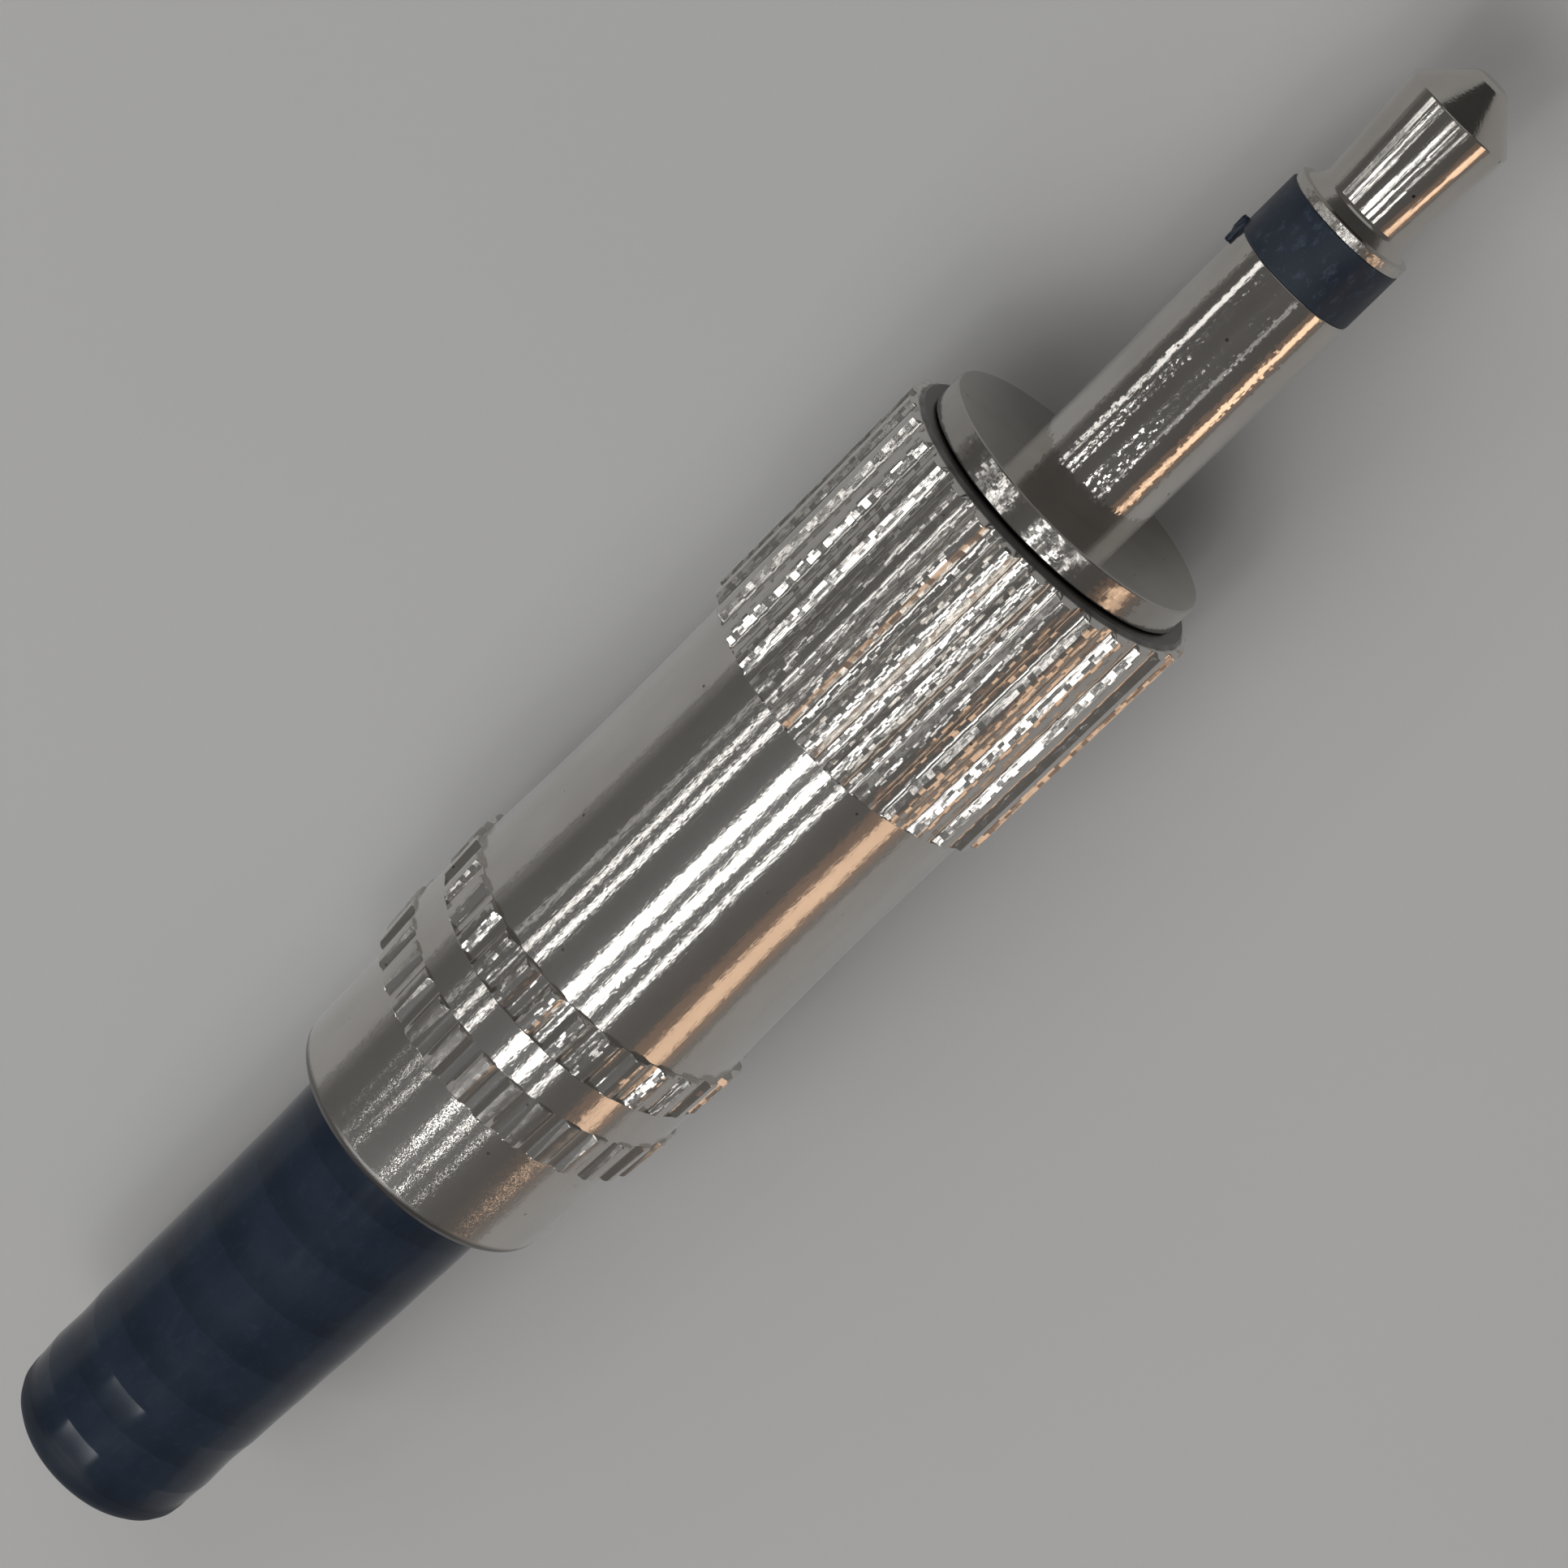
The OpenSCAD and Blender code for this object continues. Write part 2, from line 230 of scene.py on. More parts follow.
def draw_profile(name, points, rounds):
    """Draws a line of (x, radius) points above the axis and rounds the corners that are named"""
    first_x, first_r = points[0]
    bpy.ops.object.select_all(action="DESELECT")
    bpy.ops.mesh.primitive_plane_add(size=MERGE, location=(first_x, 0, first_r))
    piece = bpy.context.object
    piece.name = piece.data.name = name
    bpy.ops.object.transform_apply(location=True, rotation=True, scale=True)
    bpy.ops.object.mode_set(mode="EDIT")
    bpy.ops.mesh.select_mode(type="VERT")
    bpy.ops.mesh.select_all(action="SELECT")
    bpy.ops.mesh.merge(type="CENTER")
    for (x, r), (next_x, next_r) in zip(points, points[1:]):
        step = (next_x - x, 0, next_r - r)
        bpy.ops.mesh.extrude_vertices_move(TRANSFORM_OT_translate={"value": step})
    bpy.ops.mesh.select_all(action="SELECT")
    bpy.ops.mesh.remove_doubles(threshold=MERGE)
    for x, r, size in rounds:
        corner = Vector((x, 0, r))
        pick(piece, lambda co: (co - corner).length < MERGE)
        bpy.ops.mesh.bevel(offset=size, segments=ROUND_STEPS, affect="VERTICES", offset_type="OFFSET")
    return piece


def close_mesh():
    """Merges the seam and the poles and turns the faces outwards"""
    bpy.ops.mesh.select_all(action="SELECT")
    bpy.ops.mesh.remove_doubles(threshold=MERGE)
    bpy.ops.mesh.normals_make_consistent(inside=False)


def turn(name, points, rounds):
    """Turns a profile about the plug's axis, as on a lathe"""
    piece = draw_profile(name, points, rounds)
    bpy.ops.mesh.select_all(action="SELECT")
    bpy.ops.mesh.spin(steps=SIDES, angle=2 * pi, center=ORIGIN, axis=AXIS)
    close_mesh()
    return piece


def join(piece, other):
    """Joins another piece into this one"""
    bpy.ops.object.mode_set(mode="OBJECT")
    only(piece)
    other.select_set(True)
    bpy.ops.object.join()
    return piece


def hand_over(piece, node, material):
    """Brings a piece to metres, smooths its round faces and gives it to the frame in its node's place"""
    body = next(b for b, nodes in frame["record"]["behaviour"]["bodies"].items() if node in nodes)
    if bpy.context.mode != "OBJECT":
        bpy.ops.object.mode_set(mode="OBJECT")
    only(piece)
    bpy.ops.object.shade_smooth_by_angle(angle=CREASE)
    bpy.ops.object.modifier_add(type="WEIGHTED_NORMAL")
    weighting = piece.modifiers[-1]
    weighting.keep_sharp = True
    weighting.thresh = 0
    bpy.ops.object.modifier_apply(modifier=weighting.name)
    piece.scale = (MM, MM, MM)
    bpy.ops.object.transform_apply(location=True, rotation=True, scale=True)
    piece.data.materials.clear()
    piece.data.materials.append(material)
    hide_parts(node)
    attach(piece, body)


# Materials

NICKEL_DARK = (0.53, 0.505, 0.47, 1)
NICKEL_LIGHT = (0.61, 0.585, 0.55, 1)
PIT_BROWN = (0.08, 0.065, 0.055, 1)
# Dark grey of the painted shade on the handle's rear edge and on its front lip at the mouth
SHADE_GREY = (0.09, 0.083, 0.073, 1)
# Grey that the outside of the collar's rim is darkened towards
RIM_GREY = (0.12, 0.115, 0.105, 1)
BLACK = (0, 0, 0, 1)
PAPER_DARK = (0.43, 0.43, 0.43, 1)
PAPER_LIGHT = (0.46, 0.46, 0.455, 1)

# A thin lacquer over the plate of the handle, the shank and the collar
LACQUER_ROUGHNESS = 0.36
LACQUER_IOR = 1.9

# Between these, the share of a normal that points straight out tells a flank from a round face
FLANK_LEVEL = 0.8
ROUND_LEVEL = 0.93


class Finish:
    """A procedural material whose nodes read the place on the piece, with lengths in millimetres"""

    def __init__(self, name):
        self.material = bpy.data.materials.new(name)
        self.material.use_nodes = True
        self.tree = self.material.node_tree
        self.shader = self.tree.nodes["Principled BSDF"]
        self.place = self.add("TexCoord").outputs["Object"]
        self.facing = self.add("NewGeometry").outputs["Normal"]

    def add(self, kind, inputs=None, **settings):
        """Adds a node with its settings, and values or links for its inputs"""
        node = self.tree.nodes.new("ShaderNode" + kind)
        for key, value in settings.items():
            setattr(node, key, value)
        for key, value in (inputs or {}).items():
            self.give(node.inputs[key], value)
        return node

    def give(self, socket, value):
        """Sets an input, or links it where the value is another node's output"""
        if isinstance(value, bpy.types.NodeSocket):
            self.tree.links.new(value, socket)
        else:
            socket.default_value = value

    def vector(self, operation, first, second=None, output="Vector"):
        """Works on one vector, or on a vector with a second one or a scale"""
        inputs = {0: first}
        if second is not None:
            inputs["Scale" if operation == "SCALE" else 1] = second
        return self.add("VectorMath", inputs, operation=operation).outputs[output]

    def math(self, operation, *values):
        """Works on one or two numbers"""
        return self.add("Math", dict(enumerate(values)), operation=operation).outputs["Value"]

    def times(self, first, second):
        """Product of two numbers"""
        return self.math("MULTIPLY", first, second)

    def plus(self, first, second):
        """Sum of two numbers"""
        return self.math("ADD", first, second)

    def split(self, vector):
        """The three parts of a vector"""
        return self.add("SeparateXYZ", {"Vector": vector}).outputs

    def along(self):
        """The place along the plug's axis"""
        return self.split(self.place)["X"]

    def stretched(self, length, width):
        """The place, counted in features of a length along the axis and a width across it"""
        scale = (1 / (length * MM), 1 / (width * MM), 1 / (width * MM))
        return self.add("Mapping", {"Vector": self.place, "Scale": scale}).outputs["Vector"]

    def wrapped(self, length, width, radius):
        """The place unrolled from a cylinder, counted in features of a length and a width"""
        parts = self.split(self.place)
        angle = self.math("ARCTAN2", parts["Y"], parts["Z"])
        lengths = self.times(parts["X"], 1 / (length * MM))
        widths = self.times(angle, radius / width)
        return self.add("CombineXYZ", {"X": lengths, "Y": widths}).outputs["Vector"]

    def spread(self, value, low, high, to_low=0.0, to_high=1.0):
        """Maps a value from one range to another, and holds it there"""
        inputs = {"Value": value, "From Min": low, "From Max": high, "To Min": to_low, "To Max": to_high}
        return self.add("MapRange", inputs, clamp=True).outputs["Result"]

    def ranged(self, noise, low, high):
        """Brings the middle of a noise's range to the given range"""
        return self.spread(noise, 0.3, 0.7, low, high)

    def left_of(self, share):
        """What a share leaves of the whole"""
        return self.spread(share, 0.0, 1.0, 1.0, 0.0)

    def between(self, start, end, to_low=0.0, to_high=1.0):
        """A value that changes along the axis from one place to another"""
        return self.spread(self.along(), start * MM, end * MM, to_low, to_high)

    def beyond(self, start_r, end_r):
        """A share that rises with the distance from the axis"""
        distance = self.vector("LENGTH", self.vector("MULTIPLY", self.place, (0, 1, 1)), output="Value")
        return self.spread(distance, start_r * MM, end_r * MM)

    def noise(self, length, width, detail=2.0, roughness=0.5):
        """Noise with features of a length along the axis and a width across it"""
        place = self.stretched(length, width)
        inputs = {"Vector": place, "Scale": 1.0, "Detail": detail, "Roughness": roughness}
        return self.add("TexNoise", inputs).outputs["Fac"]

    def spots(self, size):
        """Distance from the nearest of scattered points, as a share of their usual spacing"""
        place = self.stretched(size, size)
        return self.add("TexVoronoi", {"Vector": place, "Scale": 1.0}).outputs["Distance"]

    def mix(self, share, first, second):
        """Mixes two colours by a share"""
        node = self.add("Mix", data_type="RGBA")
        self.give(node.inputs["Factor"], share)
        self.give(node.inputs[6], first)
        self.give(node.inputs[7], second)
        return node.outputs[2]

    def relief(self, height, depth, base=None):
        """Bumps the surface by a height map of the given depth"""
        inputs = {"Height": height, "Distance": depth * MM, "Strength": 1.0}
        if base is not None:
            inputs["Normal"] = base
        return self.add("Bump", inputs).outputs["Normal"]

    def bricks(self, vector):
        """A random colour for every block of rows that run along the axis, each row set off by chance"""
        parts = self.split(vector)
        row = self.math("FLOOR", parts["Y"])
        offset = self.add("TexWhiteNoise", {"W": row}, noise_dimensions="1D").outputs["Value"]
        block = self.math("FLOOR", self.plus(parts["X"], offset))
        corner = self.add("CombineXYZ", {"X": block, "Y": row}).outputs["Vector"]
        return self.add("TexWhiteNoise", {"Vector": corner}, noise_dimensions="2D").outputs["Color"]

    def steepness(self):
        """How far the surface leans from the radial direction: none on a round surface"""
        outwards = self.vector("NORMALIZE", self.vector("MULTIPLY", self.place, (0, 1, 1)))
        level = self.vector("DOT_PRODUCT", self.facing, outwards, output="Value")
        return self.spread(level, FLANK_LEVEL, ROUND_LEVEL, 1.0, 0.0)

    def facets(self, normal, share, radius, block, tilt, forward=0.5):
        """Breaks the surface into blocks of a length and width, each tilted its own way along and around"""
        chance = self.bricks(self.wrapped(*block, radius))
        tilt_along, tilt_around = tilt
        lean = self.vector("SUBTRACT", chance, (1 - forward, 0.5, 0.5))
        lean = self.vector("MULTIPLY", lean, (tilt_along, tilt_around, tilt_around))
        lean = self.vector("SCALE", lean, share)
        return self.vector("NORMALIZE", self.vector("ADD", normal, lean))

    def surface(self, **values):
        """Gives the shader its values and hands out the material"""
        for key, value in values.items():
            self.give(self.shader.inputs[key.replace("_", " ")], value)
        return self.material


def nickel_colour(plate):
    """Warm grey plate, clouded, with a few dark pits"""
    cloud = plate.noise(2.5, 1.2, detail=3.0)
    clear = plate.spread(plate.spots(0.9), 0.03, 0.06)
    bright = plate.mix(plate.ranged(cloud, 0.0, 1.0), NICKEL_DARK, NICKEL_LIGHT)
    return plate.mix(clear, PIT_BROWN, bright)


def handle_normal(plate, grain, rolled, ringed, tail):
    """Grain and drawn lines all over, rough blocks on the knurl and rings, fine rings on the tail"""
    steep = plate.steepness()
    flanks = plate.times(rolled, steep)
    crests = plate.times(rolled, plate.left_of(steep))
    ring_share = plate.times(ringed, plate.between(rear_ring_x, band_x, 0.5, 1.0))
    lines = plate.noise(3.0, 0.12)
    normal = plate.relief(lines, 0.001, plate.relief(grain, 0.0015))
    normal = plate.facets(normal, 1.0, knurl_r, block=(0.12, 0.05), tilt=(0.02, 0.02))
    normal = plate.facets(normal, crests, knurl_r, block=(1.2, 0.13), tilt=(0.03, 0.1), forward=0.1)
    normal = plate.facets(normal, crests, knurl_r, block=(0.2, 0.13), tilt=(0.12, 0.24), forward=0.2)
    normal = plate.facets(normal, flanks, knurl_r, block=(2.5, 0.14), tilt=(0.03, 0.05), forward=0.1)
    normal = plate.facets(normal, flanks, knurl_r, block=(0.2, 0.13), tilt=(0.1, 0.13), forward=0.2)
    normal = plate.facets(normal, ring_share, knurl_r, block=(0.2, 0.1), tilt=(0.16, 0.16))
    return plate.facets(normal, tail, knurl_r, block=(0.02, 0.02), tilt=(0.08, 0.006))


def handle_nickel():
    """Plate on the screw-on handle: rolled on the knurl and rings, worn rougher at its rear edge and mouth,
    where painted shade darkens its colour
    """
    plate = Finish("handle_nickel")
    grain = plate.noise(0.2, 0.06, detail=3.0, roughness=0.6)
    start = plate.between(knurl_rear - 0.02, knurl_rear)
    end = plate.between(shell_front - 0.15, shell_front - 0.1, 1.0, 0.0)
    rolled = plate.times(start, end)
    ringed = plate.times(plate.beyond(band_r + 0.005, band_r + 0.02), plate.left_of(start))
    tail = plate.between(tail_x - 0.05, tail_x, 1.0, 0.0)
    # The tail's rear edge and the shell's front lip are worn rougher and painted darker: painted shade that
    # dims the lamps' highlight along the edge, and a painted shadow in the gap at the mouth
    rounding_end = shell_rear + tail_round
    worn_and_shaded_edge = plate.between(rounding_end - 0.1, rounding_end + 0.05, 1.0, 0.0)
    worn_and_shaded = plate.plus(worn_and_shaded_edge, plate.between(shell_front, shell_front + 0.03))
    ring_rough = plate.between(rear_ring_x, band_x, 0.15, 0.05)
    roughness = plate.plus(plate.ranged(grain, 0.05, 0.1), plate.times(ringed, ring_rough))
    for share, rougher in ((rolled, 0.06), (tail, 0.03), (worn_and_shaded, 0.5)):
        roughness = plate.plus(roughness, plate.times(share, rougher))
    return plate.surface(
        Base_Color=plate.mix(worn_and_shaded, nickel_colour(plate), SHADE_GREY),
        Metallic=1.0,
        Roughness=roughness,
        Normal=handle_normal(plate, grain, rolled, ringed, tail),
        Coat_Weight=1.0,
        Coat_Roughness=LACQUER_ROUGHNESS,
        Coat_IOR=LACQUER_IOR,
    )


def shank_nickel():
    """Plate on the shank and collar: polished face, with patches of fine pitting on the shank"""
    plate = Finish("shank_nickel")
    grain = plate.noise(0.14, 0.06, detail=3.0, roughness=0.6)
    patch = plate.spread(plate.noise(1.6, 0.3, detail=3.0), 0.42, 0.56)
    side = plate.spread(plate.split(plate.facing)["X"], 0.7, 0.9, 1.0, 0.0)
    rim = plate.beyond(*rim_radii)
    rim_side = plate.times(rim, side)
    normal = plate.relief(grain, 0.001)
    normal = plate.facets(normal, side, pin_r, block=(0.06, 0.03), tilt=(0.03, 0.02))
    normal = plate.facets(normal, plate.times(patch, side), pin_r, block=(0.1, 0.06), tilt=(0.045, 0.06))
    normal = plate.facets(normal, rim_side, collar_r, block=(0.13, 0.13), tilt=(0.035, 0.045))
    return plate.surface(
        Base_Color=plate.mix(plate.times(rim_side, 0.3), nickel_colour(plate), RIM_GREY),
        Metallic=1.0,
        Roughness=plate.plus(plate.ranged(grain, 0.04, 0.1), plate.times(rim, 0.06)),
        Normal=normal,
        Coat_Weight=0.3,
        Coat_Roughness=LACQUER_ROUGHNESS,
        Coat_IOR=LACQUER_IOR,
    )


def tip_nickel():
    """Plate on the tip: scratched lengthwise by use, with a rough rim on the flange"""
    plate = Finish("tip_nickel")
    grain = plate.noise(0.14, 0.06, detail=3.0, roughness=0.6)
    scratches = plate.noise(2.2, 0.07)
    rim = plate.between(flange_front - 0.02, flange_front, 1.0, 0.0)
    head_start = plate.between(neck_front, neck_front + 0.02)
    head = plate.times(head_start, plate.between(head_x - 0.05, head_x, 1.0, 0.0))
    normal = plate.relief(scratches, 0.002, plate.relief(grain, 0.001))
    normal = plate.facets(normal, head, pin_r, block=(1.1, 0.05), tilt=(0.015, 0.045))
    normal = plate.facets(normal, rim, pin_r, block=(0.07, 0.06), tilt=(0.08, 0.16))
    return plate.surface(
        Base_Color=nickel_colour(plate),
        Metallic=1.0,
        Roughness=plate.plus(plate.ranged(grain, 0.07, 0.14), plate.times(rim, 0.16)),
        Normal=normal,
    )


def groove_share(plastic):
    """How far the place on the boot lies in the rear part of its groove, where shade is painted"""
    behind = plastic.plus(plastic.along(), -last_groove * MM)
    place = plastic.math("FRACT", plastic.times(behind, -1 / (rib_pitch * MM)))
    groove = groove_len / rib_pitch
    sunk = plastic.spread(place, 0.0, 0.6 * groove)
    return plastic.times(sunk, plastic.spread(place, 0.96 * groove, groove, 1.0, 0.0))


def moulded_black(name, dark, light, rough, scuff_depth, wear, gloss, groove_shade=0.0):
    """Navy-black moulded plastic with faint cloudy wear, painted shade in the grooves, and a rear end on the
    boot that is rubbed rougher and darkened by painted shade against its sheen
    """
    plastic = Finish(name)
    cloud = plastic.noise(1.6, 1.2, detail=4.0)
    scuff = plastic.noise(0.4, 0.24, detail=5.0, roughness=0.7)
    base = plastic.mix(plastic.spread(cloud, 0.35, 0.65), (*dark, 1), (*light, 1))
    base = plastic.mix(plastic.spread(scuff, 0.52, 0.8), base, (*(wear * part for part in light), 1))
    round_x = boot_rear + boot_round
    # The boot's rounded rear end is rubbed rougher, and its colour is darkened there as painted shade that
    # offsets the sheen of that roughness
    rubbed_and_shaded = plastic.between(round_x - 0.1, round_x + 0.4, 0.35, 0.0)
    # Painted shade: the colour is darkened towards black in the rear part of each groove, and on the rounded
    # rear end
    shade = plastic.plus(plastic.times(groove_share(plastic), groove_shade), rubbed_and_shaded)
    return plastic.surface(
        Base_Color=plastic.mix(shade, base, BLACK),
        Roughness=plastic.plus(plastic.ranged(cloud, *rough), rubbed_and_shaded),
        Normal=plastic.relief(scuff, scuff_depth),
        Specular_IOR_Level=gloss,
    )


def plain_grain(name, dark, light, metallic, rough, size):
    """A grained finish for the pieces inside the shell"""
    finish = Finish(name)
    grain = finish.noise(*size, detail=4.0)
    return finish.surface(
        Base_Color=finish.mix(finish.spread(grain, 0.35, 0.65), (*dark, 1), (*light, 1)),
        Metallic=metallic,
        Roughness=finish.ranged(grain, *rough),
        Normal=finish.relief(grain, 0.004),
    )


# Pieces


def make_tip():
    """Tip and centre rod, turned as one, with the rod's end riveted over"""
    points = [
        (tip_front, 0), (tip_front, nose_r), (head_x, head_r), (neck_front, neck_r),
        (flange_foot, flange_foot_r), (flange_front, pin_r), (ring_front, pin_r - land_drop),
        (ring_front, rod_r), (rivet_front, rod_r), (rivet_front, rivet_r), (rivet_rear, rod_r),
        (rivet_rear, 0),
    ]
    rounds = [
        (tip_front, nose_r, nose_round), (head_x, head_r, head_round), (neck_front, neck_r, neck_round),
        (flange_front, pin_r, flange_round), (rivet_front, rivet_r, rivet_round),
    ]
    return turn("tip", points, rounds)


def make_flash():
    """The sliver of flash that trails from the insulator ring's edge over the shank"""
    bpy.ops.object.select_all(action="DESELECT")
    bpy.ops.mesh.primitive_cube_add(size=1, location=(flash_x, ring_r + flash_size[1] / 3, 0))
    flash = bpy.context.object
    flash.scale = flash_size
    bpy.ops.object.transform_apply(location=True, rotation=True, scale=True)
    bpy.ops.object.mode_set(mode="EDIT")
    bpy.ops.mesh.select_all(action="SELECT")
    bpy.ops.mesh.bevel(offset=flash_bevel, segments=2, affect="EDGES")
    bpy.ops.mesh.select_all(action="SELECT")
    bpy.ops.mesh.subdivide(number_cuts=flash_cuts, smoothness=0.0)
    bpy.ops.transform.vertex_random(offset=flash_wobble, seed=flash_seed)
    pick(flash, lambda co: co.x < flash_x)
    bpy.ops.transform.resize(value=flash_tail, center_override=(flash_x, ring_r, 0))
    close_mesh()
    bpy.ops.object.mode_set(mode="OBJECT")
    return flash


def make_insulator():
    """Insulator ring with the tube that lines the shank"""
    points = [
        (ring_front, rod_hole_r), (ring_front, ring_r), (shank_front, ring_r), (shank_front, tube_r),
        (boss_rear, tube_r), (boss_rear, rod_hole_r), (ring_front, rod_hole_r),
    ]
    rounds = [(ring_front, ring_r, ring_front_round), (shank_front, ring_r, ring_rear_round)]
    insulator = turn("insulator", points, rounds)
    pick(insulator, lambda co: co.yz.length > pin_r - ring_skin)
    bpy.ops.transform.translate(value=(0, ring_shift, 0))
    bpy.ops.object.mode_set(mode="OBJECT")
    return join(insulator, make_flash())


def make_thread():
    """The right-hand thread on the stem: one section, wound along the axis"""
    half_root = root_share * thread_pitch
    half_crest = crest_share * thread_pitch
    sunk_r = relief_r - thread_sink
    section = [
        (thread_front - half_root, sunk_r), (thread_front - half_crest, thread_r),
        (thread_front + half_crest, thread_r), (thread_front + half_root, sunk_r),
        (thread_front - half_root, sunk_r),
    ]
    thread = draw_profile("thread", section, [])
    bpy.ops.object.mode_set(mode="OBJECT")
    bpy.ops.object.modifier_add(type="SCREW")
    winding = thread.modifiers[-1]
    winding.axis = "X"
    winding.steps = winding.render_steps = thread_steps
    winding.iterations = thread_turns
    winding.angle = -2 * pi
    winding.screw_offset = -thread_pitch
    bpy.ops.object.modifier_apply(modifier=winding.name)
    bpy.ops.object.mode_set(mode="EDIT")
    bpy.ops.mesh.select_all(action="DESELECT")
    bpy.ops.mesh.select_non_manifold()
    bpy.ops.mesh.edge_face_add()
    close_mesh()
    bpy.ops.object.mode_set(mode="OBJECT")
    return thread


def make_sleeve():
    """Shank, collar and threaded stem, turned as one"""
    points = [
        (shank_front, tube_hole_r), (shank_front, pin_r), (0, pin_r), (0, collar_r),
        (-collar_len, collar_r), (-collar_len, relief_r), (stem_rear, relief_r), (stem_rear, boss_r),
        (stake_front, boss_r), (stake_front, stake_r), (boss_rear, stake_r), (boss_rear, tube_hole_r),
        (shank_front, tube_hole_r),
    ]
    rounds = [
        (shank_front, pin_r, shank_round), (0, collar_r, collar_round), (-collar_len, collar_r, collar_round),
        (-collar_len, relief_r, relief_round), (stem_rear, relief_r, stem_round),
        (boss_rear, stake_r, stake_round),
    ]
    sleeve = turn("plug_sleeve", points, rounds)
    bpy.ops.object.mode_set(mode="OBJECT")
    return join(sleeve, make_thread())


def ridge_rise(across):
    """Height of the ridge's section from its crest, across 0, to the groove's floor, across 1"""
    if across < flank_start:
        return 1 - crown * (across / flank_start) ** 2
    if across > flank_end:
        return crown * ((1 - across) / (1 - flank_end)) ** 2
    return 1 - crown - (1 - 2 * crown) * (across - flank_start) / (flank_end - flank_start)


def raise_ridge(shell, x, floor_r, top_r, limit_r):
    """Lifts one ring of the sector from the groove's floor to the ridge's section, up to a limit"""
    sector = 2 * pi / knurl_count
    for step in range(1, ridge_steps):
        turned = sector * step / ridge_steps
        ridge_r = floor_r + (top_r - floor_r) * ridge_rise(abs(2 * step / ridge_steps - 1))
        column = Vector((x, floor_r * sin(turned), floor_r * cos(turned)))
        pick(shell, lambda co: (Vector((co.x, abs(co.y), co.z)) - column).length < NEAR)
        share = min(ridge_r, limit_r) / floor_r
        bpy.ops.transform.resize(value=(1, share, share), center_override=(x, 0, 0))


def knurl_stations():
    """Where the long knurl and the two rings start and end: place, floor, top and limit of their ridges"""
    floor_r = knurl_r - ridge_depth
    ring_top = knurl_r - ring_drop
    knurls = [(shell_front, knurl_rear, bevel_len, knurl_bevel, knurl_r, knurl_r, floor_r)]
    rings = ((front_ring_x, band_x), (rear_ring_x, tail_x))
    for (start, end), top_taper, floor_taper in zip(rings, ring_tapers, floor_tapers):
        rear_top = ring_top - top_taper
        knurls.append((start, end, ring_edge, ring_edge, ring_top, rear_top, floor_r - floor_taper))
    return [
        [
            (start, floor_r, front_top, front_top - drop),
            (start - edge, floor_r, front_top, front_top),
            (end + edge, rear_floor, rear_top, rear_top),
            (end, rear_floor, rear_top, rear_top - drop),
        ]
        for start, end, edge, drop, front_top, rear_top, rear_floor in knurls
    ]


def shell_profile(stations):
    """The handle's section at a groove's floor, from the mouth along the outside and back through the bore"""
    mouth_r = thread_bore_r + mouth_bevel
    lip_x = shell_front + shell_lip
    wall_x = shell_rear + rear_wall
    end_r = tail_r - tail_taper
    flare_start = front_ring_x + flare_len
    flare = [
        (flare_start - flare_len * i / flare_steps, barrel_r + flare_rise * (i / flare_steps) ** 2)
        for i in range(flare_steps + 1)
    ]
    long_knurl, front_ring, rear_ring = ([(x, r) for x, r, _, _ in row] for row in stations)
    points = [
        (lip_x, mouth_r), (lip_x, lip_r), *long_knurl, (knurl_rear, barrel_r), *flare, *front_ring,
        (band_x, band_r), (rear_ring_x, band_r), *rear_ring, (tail_x, tail_r), (shell_rear, end_r),
        (shell_rear, rear_hole_r), (wall_x, rear_hole_r), (wall_x, shell_bore_r),
        (thread_bore_end, shell_bore_r), (thread_bore_end, thread_bore_r),
        (lip_x - mouth_bevel, thread_bore_r), (lip_x, mouth_r),
    ]
    rounds = [
        (knurl_rear, barrel_r, step_round), (shell_rear, end_r, tail_round), (tail_x, tail_r, step_round),
    ]
    return points, rounds


def make_shell():
    """One ridge's sector of the screw-on handle, copied round the axis"""
    stations = knurl_stations()
    shell = draw_profile("handle", *shell_profile(stations))
    sector = 2 * pi / knurl_count
    bpy.ops.mesh.select_all(action="SELECT")
    bpy.ops.mesh.spin(steps=ridge_steps, angle=sector, center=ORIGIN, axis=AXIS)
    close_mesh()
    for row in stations:
        for station in row:
            raise_ridge(shell, *station)
    bpy.ops.mesh.select_all(action="SELECT")
    copies = knurl_count - 1
    bpy.ops.mesh.spin(steps=copies, dupli=True, angle=sector * copies, center=ORIGIN, axis=AXIS)
    close_mesh()
    return shell


def make_boot():
    """Strain relief: flange inside the shell, neck in its rear hole, ribbed tail"""
    taper = (boot_front_r - boot_end_r) / (boot_x - boot_rear)
    points = [
        (boot_front, cord_r), (boot_front, boot_flange_r), (boot_flange_x, boot_flange_r),
        (boot_flange_x, boot_neck_r), (boot_x, boot_neck_r), (boot_x, boot_front_r),
    ]
    for i, depth in enumerate(groove_depths):
        groove_x = last_groove + rib_pitch * (len(groove_depths) - 1 - i)
        for share in groove_shares:
            x = groove_x - groove_len * share
            points.append((x, boot_front_r - taper * (boot_x - x) - depth * (1 - (1 - share) ** 2)))
    points += [(boot_rear, boot_end_r), (boot_rear, cord_r), (boot_front, cord_r)]
    rounds = [(boot_x, boot_front_r, boot_front_round), (boot_rear, boot_end_r, boot_round)]
    boot = turn("cord_boot", points, rounds)
    pick(boot, lambda co: co.x < boot_rear + boot_round)
    bpy.ops.transform.translate(
        value=(0, boot_bend, 0),
        use_proportional_edit=True,
        proportional_size=bend_reach,
        proportional_edit_falloff="SMOOTH",
    )
    return boot


